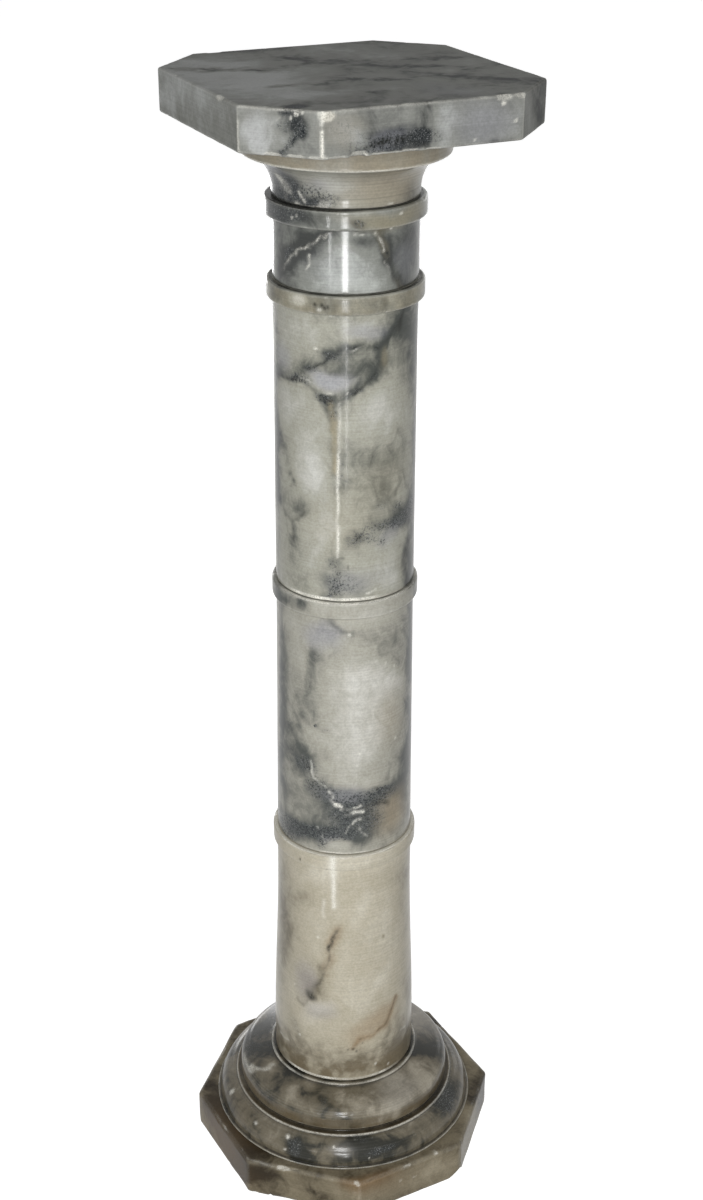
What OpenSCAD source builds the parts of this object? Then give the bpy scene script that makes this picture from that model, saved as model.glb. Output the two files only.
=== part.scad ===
// Pedestal column of solid stone: a square top slab with clipped corners, a flared capital,
// a round shaft of four drums that each carry a flat collar, a turned base and an octagonal
// plinth. Every stone is its own solid and stands face to face on the one below.
// Millimetres, +Z up, origin at the middle of the plinth's underside.

/* [Plinth] */
// Width of the octagonal plinth across its flat sides
plinth_w = 260; // [250:1:320]
// Height of the plinth
plinth_h = 38; // [25:1:60]
// Turn of the plinth about the shaft's axis, in degrees
plinth_turn = 3.5; // [-10:0.5:10]

/* [Base] */
// Radius of the thin step that lies on the plinth
step_r = 121.5; // [120:0.5:124]
// Height of the thin step
step_h = 1.6; // [1:0.1:4]
// Radius of the lower moulding at its foot
ovolo_r = 119; // [112:0.5:119.5]
// Height of the rounded lower moulding
ovolo_h = 20.9; // [14:0.1:30]
// Radius of the sharp fillet above the lower moulding
fillet_r = 103; // [101:0.5:108]
// Height of the fillet's upright face
fillet_h = 2; // [1:0.1:4]
// Radius of the upper disc at its side
disc_r = 98.4; // [90:0.1:100]
// Height of the disc's side, from the fillet up to its rounded shoulder
disc_side_h = 11.2; // [6:0.1:16]
// Radius of the disc's rounded shoulder
shoulder_r = 12; // [6:0.5:16]
// Rise of the disc's domed top, from its shoulder to the seat's rim
dome_rise = 5.3; // [2:0.1:10]
// Depth of the groove between the fillet and the disc
groove_depth = 1.2; // [0.5:0.1:2]
// Height of that groove
groove_h = 1.6; // [1:0.1:3]
// Width of the rim's ledge that shows around the foot of the shaft
rim_w = 4.35; // [2:0.05:8]
// Height of the rim
rim_h = 2; // [1:0.1:4]

/* [Lower shaft drum] */
// Height of the lower drum, its collar included
lower_h = 247; // [180:1:320]
// Radius of the shaft at its foot
lower_foot_r = 64.75; // [61:0.25:70]
// Radius of the lower drum under its collar
lower_top_r = 60.3; // [56:0.1:62]
// Straight length above the foot, before the taper begins
taper_start = 27; // [5:1:50]
// Straight length between the taper's end and the collar
taper_rest = 25; // [5:1:50]
// Radius of the lower drum's collar
lower_collar_r = 63.7; // [62:0.1:68]

/* [Middle shaft drum] */
// Height of the middle drum, its collar included
middle_h = 245; // [150:1:320]
// Radius of the middle drum at its foot
middle_foot_r = 59.8; // [57:0.1:62]
// Radius of the middle drum under its collar
middle_top_r = 58.1; // [56:0.1:60]
// Radius of the middle drum's collar
middle_collar_r = 61.6; // [60.5:0.1:66]

/* [Upper shaft drum] */
// Height of the upper drum, its collar included
upper_h = 259; // [150:1:320]
// Radius of the upper drum at its foot
upper_foot_r = 58.2; // [56:0.1:60]
// Radius of the upper drum under its collar
upper_top_r = 57.7; // [55:0.1:60]
// Radius of the upper drum's collar
upper_collar_r = 62.8; // [61:0.1:67]

/* [Necking drum] */
// Height of the necking drum, its collar included
necking_h = 65.5; // [40:0.5:100]
// Radius of the necking drum
necking_r = 57.8; // [55:0.1:60]
// Radius of the necking drum's collar
necking_collar_r = 63.6; // [61:0.1:68]

/* [Capital] */
// Height of the capital
capital_h = 56.5; // [45:0.5:80]
// Radius of the capital at its foot
capital_foot_r = 58.2; // [55:0.1:60]
// Height of the straight part under the hollow curve
capital_straight_h = 4.6; // [2:0.1:12]
// Height of the hollow curve that flares out to the lip
hollow_h = 28.2; // [20:0.1:32]
// Radius of the lip and of the band above it
lip_r = 82; // [70:0.5:95]

/* [Top slab] */
// Width of the slab across its flat sides
slab_w = 248; // [200:1:300]
// Length that each clipped corner takes off a side
slab_cut = 44.5; // [20:0.5:60]
// Thickness of the slab
slab_h = 34; // [20:1:50]
// Offset of the slab from the shaft's axis along X, as it was set
slab_shift_x = 1.5; // [-5:0.5:5]
// Offset of the slab from the shaft's axis along Y, as it was set
slab_shift_y = -3.5; // [-5:0.5:5]

/* [Edges] */
// Height of every collar
collar_h = 15; // [10:0.5:20]
// Rounding of the collars' edges
collar_round = 1.8; // [0.5:0.1:3]
// Worn bevel at the foot of each shaft stone and on the capital's lip
arris = 0.9; // [0.4:0.1:1.5]
// Worn bevel along the edges of the slab and the plinth
slab_bevel = 1.2; // [0.5:0.1:2.5]

/* [Hidden] */
$fn = 96;
curve_steps = 14;
round_steps = 4;
eighth_turn = 45;

rim_r = lower_foot_r + rim_w;
taper_h = lower_h - collar_h - taper_rest - taper_start;
base_h = step_h + ovolo_h + fillet_h + disc_side_h + shoulder_r + dome_rise + rim_h;
base_z = plinth_h;
lower_z = base_z + base_h;
middle_z = lower_z + lower_h;
upper_z = middle_z + middle_h;
necking_z = upper_z + upper_h;
capital_z = necking_z + necking_h;
slab_z = capital_z + capital_h;

// Points of an elliptical arc about [r, z], from angle a to angle b
function arc(r, z, half_w, half_h, a, b, steps) =
    [for (i = [0:steps]) let (t = a + (b - a) * i / steps) [r + half_w * cos(t), z + half_h * sin(t)]];

// Outline of a square of width w whose corners are clipped by c along each side
function clipped_square(w, c) =
    let (h = w / 2, k = w / 2 - c)
    [[k, -h], [h, -k], [h, k], [k, h], [-k, h], [-h, k], [-h, -k], [-k, -h]];

// The half profile of a collar that ends a drum of radius r and height h
function collar_profile(r, out_r, h) = concat(
    [[r, h - collar_h]],
    arc(out_r - collar_round, h - collar_h + collar_round, collar_round, collar_round, -90, 0, round_steps),
    arc(out_r - collar_round, h - collar_round, collar_round, collar_round, 0, 90, round_steps));

// Radius of the lower drum at the share t of its taper: a soft curve from foot to top
function taper_r(t) = lower_top_r + (lower_foot_r - lower_top_r) * (1 + cos(180 * t)) / 2;

module turned(profile) {
    rotate_extrude() polygon(profile);
}

// A straight-sided drum with a collar at its top
module drum(foot_r, top_r, collar_r, h) {
    turned(concat(
        [[0, 0], [foot_r - arris, 0], [foot_r, arris]],
        collar_profile(top_r, collar_r, h),
        [[0, h]]));
}

// A prism over the outline pts with every long edge bevelled
module bevelled_prism(pts, h, bevel) {
    n = len(pts);
    difference() {
        linear_extrude(h) polygon(pts);
        for (i = [0:n - 1], z = [0, h]) {
            p = pts[i];
            q = pts[(i + 1) % n];
            translate([(p.x + q.x) / 2, (p.y + q.y) / 2, z])
                rotate([0, 0, atan2(q.y - p.y, q.x - p.x)])
                rotate([45, 0, 0])
                cube([norm(q - p) + 4 * bevel, bevel * sqrt(2), bevel * sqrt(2)], center = true);
        }
    }
}

module plinth() {
    side_cut = plinth_w / 2 * (1 - tan(eighth_turn / 2));
    color("#8b857b")
        rotate([0, 0, plinth_turn])
        bevelled_prism(clipped_square(plinth_w, side_cut), plinth_h, slab_bevel);
}

module base() {
    ovolo_z = step_h;
    fillet_z = ovolo_z + ovolo_h;
    disc_z = fillet_z + fillet_h;
    shoulder_z = disc_z + disc_side_h;
    dome_z = shoulder_z + shoulder_r;
    rim_z = dome_z + dome_rise;
    color("#6f6c69")
        translate([0, 0, base_z])
        turned(concat(
            [[0, 0], [step_r, 0], [step_r, step_h]],
            arc(fillet_r, ovolo_z, ovolo_r - fillet_r, ovolo_h, 0, 90, curve_steps),
            [[fillet_r, disc_z], [disc_r - groove_depth, disc_z],
             [disc_r - groove_depth, disc_z + groove_h], [disc_r, disc_z + groove_h + groove_depth]],
            arc(disc_r - shoulder_r, shoulder_z, shoulder_r, shoulder_r, 0, 75, curve_steps),
            [[rim_r, rim_z], [rim_r, rim_z + rim_h], [0, rim_z + rim_h]]));
}

module lower_shaft() {
    color("#a9a393")
        translate([0, 0, lower_z])
        turned(concat(
            [[0, 0], [lower_foot_r - arris, 0], [lower_foot_r, arris]],
            [for (i = [0:curve_steps]) let (t = i / curve_steps) [taper_r(t), taper_start + taper_h * t]],
            collar_profile(lower_top_r, lower_collar_r, lower_h),
            [[0, lower_h]]));
}

module middle_shaft() {
    color("#9c978c")
        translate([0, 0, middle_z])
        drum(middle_foot_r, middle_top_r, middle_collar_r, middle_h);
}

module upper_shaft() {
    color("#aaa89f")
        translate([0, 0, upper_z])
        drum(upper_foot_r, upper_top_r, upper_collar_r, upper_h);
}

module necking() {
    color("#7d7d7c")
        translate([0, 0, necking_z])
        drum(necking_r, necking_r, necking_collar_r, necking_h);
}

module capital() {
    lip_edge_r = lip_r - arris;
    color("#8f8a7f")
        translate([0, 0, capital_z])
        turned(concat(
            [[0, 0], [capital_foot_r - arris, 0], [capital_foot_r, arris]],
            arc(lip_edge_r, capital_straight_h, lip_edge_r - capital_foot_r, hollow_h, 180, 90, curve_steps),
            [[lip_r, capital_straight_h + hollow_h + arris], [lip_r, capital_h], [0, capital_h]]));
}

module top_slab() {
    color("#7b7c7b")
        translate([slab_shift_x, slab_shift_y, slab_z])
        bevelled_prism(clipped_square(slab_w, slab_cut), slab_h, slab_bevel);
}

plinth();
base();
lower_shaft();
middle_shaft();
upper_shaft();
necking();
capital();
top_slab();
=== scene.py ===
import itertools
import math

import bpy
import numpy as np
from mathutils import Matrix, Vector, geometry


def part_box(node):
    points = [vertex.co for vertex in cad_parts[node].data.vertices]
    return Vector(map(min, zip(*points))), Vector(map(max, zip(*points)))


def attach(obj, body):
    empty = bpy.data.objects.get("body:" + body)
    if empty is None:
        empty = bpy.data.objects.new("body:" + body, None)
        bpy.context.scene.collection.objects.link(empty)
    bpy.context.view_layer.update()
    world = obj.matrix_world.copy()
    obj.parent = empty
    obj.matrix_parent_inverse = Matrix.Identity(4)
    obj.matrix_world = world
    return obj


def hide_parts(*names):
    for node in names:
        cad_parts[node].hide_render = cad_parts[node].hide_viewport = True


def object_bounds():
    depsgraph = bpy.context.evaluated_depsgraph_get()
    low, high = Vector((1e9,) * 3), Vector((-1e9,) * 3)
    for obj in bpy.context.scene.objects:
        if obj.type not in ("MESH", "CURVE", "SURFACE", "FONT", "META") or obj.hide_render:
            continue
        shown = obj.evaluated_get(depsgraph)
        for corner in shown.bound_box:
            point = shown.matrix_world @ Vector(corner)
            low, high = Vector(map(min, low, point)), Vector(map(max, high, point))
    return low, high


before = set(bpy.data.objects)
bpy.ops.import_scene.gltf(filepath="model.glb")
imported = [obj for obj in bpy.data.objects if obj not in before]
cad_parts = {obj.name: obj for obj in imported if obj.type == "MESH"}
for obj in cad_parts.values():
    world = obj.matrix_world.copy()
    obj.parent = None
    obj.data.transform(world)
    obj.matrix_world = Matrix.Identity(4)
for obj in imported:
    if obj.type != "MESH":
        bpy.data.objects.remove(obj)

# A pedestal column of eight polished stones. Each CAD node is replaced by a fine mesh that
# keeps its outline and adds worn edges, chips, veins, dirt, and in places painted shade and
# painted highlights. Marks are placed in millimetres and degrees: an angle of 0 is the front
# (-Y) and 90 is the right (+X).

CAD_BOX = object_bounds()
MM = 0.001

# Meshing, in mm
SAME_REACH = 0.3  # points of a profile closer than this are one point
SHORT_SIDE = 3  # corners of an outline closer than this are one corner
SHARP_TURN = math.radians(12)  # a path that turns more than this has a corner there
PATH_GRID = 0.1  # spacing at which paths are worn round
KERNEL_POINTS = 30  # grid points on each side for 1 mm of rounding
SPREAD = 0.35  # how fast points spread out with their distance from a corner
FULL_WEAR = 0.12  # a corner cut back by this much counts as a whole edge
CROWDING, CROWDED_SIDE = 0.33, math.radians(-115)  # where a turned stone's columns bunch up
RIPPLE, LUMP, DRIFT = 7, 10, 34  # lump sizes of the noises that make marks ragged

# ---------------------------------------------------------------- numbers and noise


def clamp(values, low=0.0, high=1.0):
    return np.minimum(np.maximum(values, low), high)


def smooth_step(values, low, high):
    t = clamp((values - low) / (high - low))
    return t * t * (3 - 2 * t)


POSITIVE = 1000  # added to cell numbers so that none is negative
CELL_PRIMES = (73856093, 19349663, 83492791)
SEED_PRIME = 2654435761
MIXING_PRIMES = (2246822519, 3266489917)
LOW_BITS = np.uint64(0xFFFFFFFF)


def cell_values(cells, seed):
    """A repeatable number from -1 to 1 for each whole-number cell."""
    mixed = np.uint64(seed * SEED_PRIME)
    for axis, prime in enumerate(CELL_PRIMES):
        mixed = mixed ^ cells[..., axis].astype(np.uint64) * np.uint64(prime)
    for prime in MIXING_PRIMES:
        mixed = (mixed ^ (mixed >> np.uint64(15))) * np.uint64(prime) & LOW_BITS
    return mixed.astype(np.float64) / 2**31 - 1


def noise(points, size, seed, octaves):
    """Smooth noise from about -1 to 1 whose largest lumps are size millimetres apart."""
    total = np.zeros(len(points))
    for octave in range(octaves):
        scaled = points * 2**octave / size + POSITIVE
        cell = np.floor(scaled)
        part = scaled - cell
        part = part * part * (3 - 2 * part)
        for corner in itertools.product((0, 1), repeat=3):
            near = np.prod(np.where(corner, part, 1 - part), axis=-1)
            total += near * cell_values(cell + corner, seed + octave) / 2**octave
    return total


# ---------------------------------------------------------------- outlines and profiles


def profile_of(node):
    """The half profile of a turned CAD node, as [reach, z] in mm from its foot to its top."""
    co = np.array([v.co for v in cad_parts[node].data.vertices]) / MM
    pairs = np.stack([np.hypot(co[:, 0], co[:, 1]), co[:, 2]], 1)
    levels = {}
    for reach, z in np.unique(np.round(pairs, 1), axis=0):
        levels.setdefault(z, []).append(reach)
    path = [[0.0, min(levels)]]
    for z in sorted(levels):
        across = sorted(r for r in levels[z] if r > 1)
        across = [r for r, lower in zip(across, [0] + across) if r - lower > SAME_REACH]
        if abs(across[-1] - path[-1][0]) < abs(across[0] - path[-1][0]):
            across.reverse()
        path += [[across[0], z], [across[-1], z]] if len(across) > 1 else [[across[0], z]]
    return np.array(path + [[0.0, max(levels)]])


def outline_of(node):
    """The outer polygon of a prism-shaped CAD node in mm, and its middle."""
    co = [Vector(v.co[:2]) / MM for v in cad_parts[node].data.vertices]
    corners = np.array([co[i] for i in geometry.convex_hull_2d(co)])
    before = np.roll(corners, 1, 0)
    far = [p for p, q in zip(corners, before) if np.hypot(*(p - q)) > SHORT_SIDE]
    return np.array(far), (np.max(corners, 0) + np.min(corners, 0)) / 2


def resample(path, step, fine, rounding, closed=False):
    """Points along a path whose corners are worn round, closer together near a corner.
    Returns the points, their outward normals and how far wear has cut each one back."""
    path = np.vstack([path, path[:1]]) if closed else path
    legs = np.diff(path, axis=0)
    length = np.hypot(*legs.T)
    keep = length > 1e-6
    path, legs, length = np.vstack([path[:-1][keep], path[-1:]]), legs[keep], length[keep]
    along = np.concatenate([[0], np.cumsum(length)])
    total = along[-1]
    heading = np.arctan2(legs[:, 1], legs[:, 0])
    turns = np.abs((np.diff(heading) + math.pi) % (2 * math.pi) - math.pi) > SHARP_TURN
    sharp = along[1:-1][turns]
    if closed:
        sharp = np.concatenate([[0, total], sharp])
    grid = np.arange(0, total, PATH_GRID)
    raw = np.stack([np.interp(grid, along, path[:, k]) for k in (0, 1)], 1)
    reach = int(rounding * KERNEL_POINTS)
    kernel = np.exp(-((np.arange(-reach, reach + 1) * PATH_GRID / rounding) ** 2) / 2)
    kernel /= kernel.sum()
    ends = {"mode": "wrap"} if closed else {"mode": "reflect", "reflect_type": "odd"}
    padded = np.pad(raw, ((reach, reach), (0, 0)), **ends)
    worn = np.stack([np.convolve(padded[:, k], kernel, "valid") for k in (0, 1)], 1)
    spots, at = [], 0.0
    while at < total - fine / 2:
        spots.append(at)
        gap = np.min(np.abs(sharp - at)) if len(sharp) else step
        at += min(step, fine + SPREAD * gap)
    if not closed:
        spots.append(total)
    pick = lambda values: np.stack([np.interp(spots, grid, values[:, k]) for k in (0, 1)], 1)
    slope = np.gradient(worn, axis=0)
    normal = np.stack([slope[:, 1], -slope[:, 0]], 1)
    normal /= np.hypot(*normal.T)[:, None] + 1e-12
    cut = np.sum((raw - worn) * normal, 1)
    return pick(worn), pick(normal), np.interp(spots, grid, cut)


def thin(rows, facing, wear, margin, rings):
    """Leaves only a few rows on the flat foot and top, further inside the edge than margin."""
    keep = np.ones(len(rows), bool)
    for end, count in zip((0, -1), rings):
        flat = (np.abs(facing[:, 1]) > 0.999) & (np.abs(rows[:, 1] - rows[end, 1]) < 0.01)
        spare = np.flatnonzero(flat & (rows[:, 0] < rows[flat, 0].max() - margin))
        keep[spare] = False
        keep[spare[:: max(1, len(spare) // count)]] = True
    keep[[0, -1]] = True
    return rows[keep], facing[keep], wear[keep]


# ---------------------------------------------------------------- stones


def add_object(name, data):
    made = bpy.data.objects.new(name, data)
    bpy.context.scene.collection.objects.link(made)
    return made


# Marks are kept in the red, green and blue of two colour attributes.
MARK_LAYERS = {"dark_marks": ("vein", "speck", "dirt_and_shade"), "light_marks": ("frost_and_highlight", "tone", "warm")}
SIGNED_MARKS = ("tone", "warm")  # these run from -1 to 1, the others from 0 to 1


class Stone:
    """One stone as a fine mesh: rows up its profile, columns round its outline. A vein mark
    is a dark thread, speck is dark grain, dirt is grime at joints, darkening in hollows and
    painted shade at some ring ends, and frost is pale crackle and worn edges and on the top
    slab's front corners a painted highlight. Tone makes the stone lighter or darker, in places
    as painted shade along the shafts' edges or a painted sheen, and warm makes it browner or bluer."""

    def __init__(self, node, seed):
        self.node, self.seed = node, seed

    def loft(self, rows, row_normals, row_wear, ring, ring_normals, ring_wear, middle=(0, 0)):
        n, m = len(rows), len(ring)
        self.shape = n, m
        reach, z = rows[:, 0], rows[:, 1]
        self.reach, self.level = reach, z
        spots = np.empty((n, m, 3))
        spots[..., :2] = np.array(middle) + reach[:, None, None] * ring[None]
        spots[..., 2] = z[:, None]
        facing = np.empty((n, m, 3))
        facing[..., :2] = row_normals[:, None, :1] * ring_normals[None]
        facing[..., 2] = row_normals[:, 1:]
        self.at = spots.reshape(-1, 3)
        self.facing = facing.reshape(-1, 3)
        side = clamp(row_normals[:, 0])[:, None]
        edge = clamp(row_wear / FULL_WEAR)[:, None] + clamp(ring_wear / FULL_WEAR)[None] * side
        hollow = clamp(-row_wear / FULL_WEAR)[:, None] * np.ones(m)
        self.edge = clamp(edge).reshape(-1)
        self.hollow = hollow.reshape(-1)
        self.angle = np.degrees(np.arctan2(self.at[:, 0], -self.at[:, 1]))
        kinds = [kind for layer in MARK_LAYERS.values() for kind in layer]
        self.marks = {kind: np.zeros(n * m) for kind in kinds}
        self.ripple = np.stack([noise(self.at, RIPPLE, self.seed + k, 3) for k in (11, 12, 13)], 1)
        self.drift = np.stack([noise(self.at, DRIFT, self.seed + k, 2) for k in (21, 22, 23)], 1)
        self.lumps = clamp(0.5 + 0.85 * noise(self.at, LUMP, self.seed + 31, 3))

    def turned(self, columns=288, step=1.3, rounding=0.55):
        """Columns stand closest together at the front left, which shows the most marks."""
        rows, facing, wear = resample(profile_of(self.node), step, 0.4, rounding)
        rows, facing, wear = thin(rows, facing, wear, margin=12, rings=(6, 6))
        rows[[0, -1], 0] = 0
        turn = np.arange(columns) * 2 * math.pi / columns
        turn -= CROWDING * np.sin(turn - CROWDED_SIDE)
        ring = np.stack([np.cos(turn), np.sin(turn)], 1)
        self.loft(rows, facing, wear, ring, ring, np.zeros(columns))
        return self

    def prism(self, cap_rings, step=2.0, rounding=0.7, bevel=1.2):
        """The flat top keeps cap_rings rows, because its marks need them."""
        fine = 0.5
        corners, middle = outline_of(self.node)
        low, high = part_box(self.node)
        outline, outward, ring_wear = resample(corners - middle, step, fine, rounding, closed=True)
        apothem = np.min(np.hypot(*((corners + np.roll(corners, 1, 0)) / 2 - middle).T))
        z0, z1 = low.z / MM, high.z / MM
        path = [[0, z0], [apothem - bevel, z0], [apothem, z0 + bevel]]
        path += [[apothem, z1 - bevel], [apothem - bevel, z1], [0, z1]]
        rows, facing, wear = resample(np.array(path), 1.4, fine, rounding)
        rows, facing, wear = thin(rows, facing, wear, margin=6, rings=(6, cap_rings))
        rows[[0, -1], 0] = 0
        self.loft(rows, facing, wear, outline / apothem, outward, ring_wear, middle)
        return self

    def place(self, spot):
        """A point on the stone in mm, from (angle, height) or (x, y, z)."""
        if len(spot) == 3:
            return np.array(spot, float)
        turn = math.radians(spot[0])
        reach = np.interp(spot[1], self.level, self.reach)
        return np.array([reach * math.sin(turn), -reach * math.cos(turn), spot[1]])

    def mark(self, kind, near, value):
        old = self.marks[kind][near]
        self.marks[kind][near] = old * (1 - clamp(np.abs(value))) + value

    def line(self, kind, *rows):
        """Lines of one kind: each row is what draw_line takes."""
        for row in rows:
            self.draw_line(kind, *row)

    def draw_line(self, kind, path, width, strength, ragged=1.0, broken=0.4):
        """A line along a path of (angle, height) or (x, y, z) points."""
        knots = []
        for a, b in zip(path, path[1:]):
            span = np.linalg.norm(self.place(a) - self.place(b))
            for t in np.arange(0, 1, min(1, 4 / (span + 1))):
                knots.append(self.place(tuple(np.array(a) * (1 - t) + np.array(b) * t)))
        knots = np.array(knots + [self.place(path[-1])])
        spots = self.at + ragged * (1.5 * self.ripple + 0.8 * self.drift)
        margin = 2.6 * width + 2
        inside = (spots > knots.min(0) - margin) & (spots < knots.max(0) + margin)
        near = np.flatnonzero(np.all(inside, 1))
        p = spots[near]
        best = np.full(len(near), 1e9)
        for a, b in zip(knots, knots[1:]):
            leg = b - a
            t = clamp((p - a) @ leg / (leg @ leg + 1e-9))
            best = np.minimum(best, np.linalg.norm(p - a - t[:, None] * leg, axis=1))
        lumps = 1 - broken * self.lumps[near]
        self.mark(kind, near, strength * lumps * np.exp(-((best / width) ** 2)))

    def patch(self, kind, *rows, **same):
        """Clouds of one kind: each row is a spot's numbers, a width, a height, a strength."""
        for *spot, width, height, strength in rows:
            self.draw_patch(kind, spot, (width, height), strength, **same)

    def dots(self, kind, *rows, strength, ragged, tall=1.0):
        """Small marks: each row is a spot's numbers and then a width."""
        for *spot, size in rows:
            self.draw_patch(kind, spot, (size, size * tall), strength, ragged=ragged)

    def draw_patch(self, kind, spot, size, strength, soft=0.5, tilt=0, ragged=1.0):
        """A cloud about a point: size is (across, up) in mm, tilt is in degrees. On the flat
        top of a slab, across is +X and up is +Y."""
        middle = self.place(spot)
        off = self.at + ragged * (1.2 * self.ripple + 5.0 * self.drift) - middle
        if len(spot) == 3 and spot[2] > self.level.max() - 0.5:
            across, up, away = off[:, 0], off[:, 1], off[:, 2] * 3
        else:
            turn = math.radians(spot[0]) if len(spot) == 2 else math.atan2(spot[0], -spot[1])
            across = off[:, 0] * math.cos(turn) + off[:, 1] * math.sin(turn)
            up = off[:, 2]
            away = (off[:, 0] * math.sin(turn) - off[:, 1] * math.cos(turn)) * 0.3
        lean = math.radians(tilt)
        along = across * math.cos(lean) + up * math.sin(lean)
        over = up * math.cos(lean) - across * math.sin(lean)
        far = np.sqrt((along / size[0]) ** 2 + (over / size[1]) ** 2 + (away / max(size)) ** 2)
        cloud = 1 - smooth_step(far, max(0, 1 - 1.7 * soft), 1 + soft)
        self.mark(kind, slice(None), strength * cloud)

    def band(self, kind, heights, strength, reach=(0, 999), angles=None, soft=0.4, broken=0.4):
        """A belt between two heights, and between two distances from the axis."""
        z = self.at[:, 2] + 0.25 * self.ripple[:, 0]
        r = np.hypot(self.at[:, 0], self.at[:, 1])
        inside = smooth_step(z, heights[0] - soft, heights[0] + soft)
        inside *= 1 - smooth_step(z, heights[1] - soft, heights[1] + soft)
        inside *= (r > reach[0]) & (r < reach[1])
        if angles:
            away = np.abs((self.angle - sum(angles) / 2 + 180) % 360 - 180)
            half = (angles[1] - angles[0]) / 2
            inside *= 1 - smooth_step(away, half - 14, half + 14)
        self.mark(kind, slice(None), strength * inside * (1 - broken * self.lumps))

    def vein(self, *rows):
        """Veins: each row is what draw_vein takes."""
        for row in rows:
            self.draw_vein(*row)

    def draw_vein(self, path, width, dark, halo, grain, light=0.0):
        """A dark vein in a grey, grainy halo, with a pale broken thread just below it."""
        self.draw_line("tone", path, halo * 2.2, -0.4, broken=0.2)
        self.draw_line("tone", path, halo * 0.9, -0.55)
        self.draw_line("speck", path, halo * 0.6, 0.7 * grain, broken=0.7)
        self.draw_line("vein", path, width, dark, ragged=1.2, broken=0.7)
        if light:
            below = [(*point[:-1], point[-1] - 1.6) for point in path]
            self.draw_line("frost_and_highlight", below, width, light, ragged=1.6, broken=0.9)

    def hidden_side(self, count):
        """Veins and clouds on the far side, from 70 to 240 degrees, drawn from the seed."""
        rng = np.random.default_rng(self.seed)
        low, high = self.level.min(), self.level.max()
        for _ in range(count):
            angle, z = rng.uniform(70, 235), rng.uniform(low, high)
            lean = rng.uniform(-0.9, 0.9)
            path = [(angle, z)]
            for _ in range(5):
                angle = min(240, angle + rng.uniform(5, 13))
                z = min(high, max(low, z + lean * rng.uniform(4, 16)))
                path.append((angle, z))
            self.draw_vein(path, 1.3, 0.6, 5, 0.5, rng.uniform(0, 0.6))
            spot = (rng.uniform(75, 235), rng.uniform(low, high))
            size = (rng.uniform(12, 30), rng.uniform(8, 22))
            self.draw_patch("tone", spot, size, rng.uniform(-0.6, 0.4), soft=0.7)
            spot = (rng.uniform(75, 235), rng.uniform(low, high))
            self.draw_patch("warm", spot, size, rng.uniform(-0.7, 0.7), soft=0.7)

    def chip(self, reach, *rows):
        """Chips reach mm wide: each row is a spot, the way the break faces and its depth."""
        for row in rows:
            self.break_off(reach, *row)

    def break_off(self, reach, spot, facing, depth):
        """Breaks off what stands beyond a plane through a point, depth mm inside it."""
        facing = np.array(facing, float) / np.linalg.norm(facing)
        middle = self.place(spot)
        near = 1 - smooth_step(np.linalg.norm(self.at - middle, axis=1), reach * 0.7, reach)
        height = (self.at - middle) @ facing + depth + 0.35 * self.ripple[:, 0]
        over = clamp(height, 0, 50) * near
        self.at = self.at - over[:, None] * facing
        self.mark("frost_and_highlight", slice(None), 0.5 * smooth_step(over, 0.05, 0.5))

    def wear(self, depth=0.5, nick=0.8, pale=1.0):
        """Wears the edges unevenly, nicks them and leaves the faces very slightly wavy.
        The worn edges are paler by pale, and the hollows are darkened."""
        rub = clamp(0.35 + 0.9 * noise(self.at, 22, self.seed + 1, 2))
        bite = smooth_step(noise(self.at, 5, self.seed + 2, 3), 0.55, 1.1)
        waves = 0.07 * noise(self.at, 60, self.seed + 3, 2)
        back = self.edge * (depth * 0.4 * rub + nick * bite) - waves * (1 - self.edge)
        self.at = self.at - self.facing * np.maximum(back, 0)[:, None]
        self.mark("frost_and_highlight", slice(None), pale * self.edge * (0.16 + 0.4 * bite))
        self.mark("dirt_and_shade", slice(None), 0.85 * self.hollow)

    def build(self, *tones, **looks):
        """Makes the mesh and its material, from what stone_material takes."""
        n, m = self.shape
        spots = self.at * MM
        verts = np.vstack([spots[:1], spots[m:-m], spots[-1:]])
        ids = np.arange(1, 1 + (n - 2) * m).reshape(n - 2, m)
        after = np.roll(ids, -1, 1)
        quads = np.stack([ids[:-1], after[:-1], after[1:], ids[1:]], -1).reshape(-1, 4)
        foot = [[0, b, a] for a, b in zip(ids[0], after[0])]
        top = [[len(verts) - 1, a, b] for a, b in zip(ids[-1], after[-1])]
        mesh = bpy.data.meshes.new(self.node + "_stone")
        mesh.from_pydata(verts.tolist(), [], foot + quads.tolist() + top)
        pick = np.concatenate([[0], np.arange(m, (n - 1) * m), [n * m - 1]])
        for name, kinds in MARK_LAYERS.items():
            colour = np.ones((len(verts), 4))
            for k, kind in enumerate(kinds):
                value = self.marks[kind][pick]
                colour[:, k] = clamp(0.5 + 0.5 * value if kind in SIGNED_MARKS else value)
            layer = mesh.attributes.new(name, "FLOAT_COLOR", "POINT")
            layer.data.foreach_set("color", colour.ravel())
        mesh.shade_smooth()
        mesh.materials.append(stone_material(self.node + "_marble", *tones, **looks))
        piece = add_object(self.node + "_stone", mesh)
        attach(piece, "root")
        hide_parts(self.node)


# ---------------------------------------------------------------- materials

# Colours of the marks, as 0 to 255 screen values
SMOKE = (78, 82, 84)
GRAIN = (30, 34, 36)
GLINT = (176, 178, 178)
THREAD = (30, 31, 26)
# The crackle colour also paints a highlight on the top slab's front corners, and the grime colour also
# paints shade at the ends of the upper shaft's top ring.
CRACKLE_AND_HIGHLIGHT = (238, 236, 226)
GRIME_AND_SHADE = (24, 22, 17)
# Noise scales, in lumps to the metre
CLOUD_SCALE, WISP_SCALE, FINE_SCALE, GRIT_SCALE = 16, 62, 520, 1100
TURNING_LINES = (9, 9, 950)  # the fine rings left by turning: long across, short up
COAT_ROUGHNESS = 0.14
BUMP_STRENGTH, BUMP_HEIGHT = 0.25, 0.0002


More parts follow.
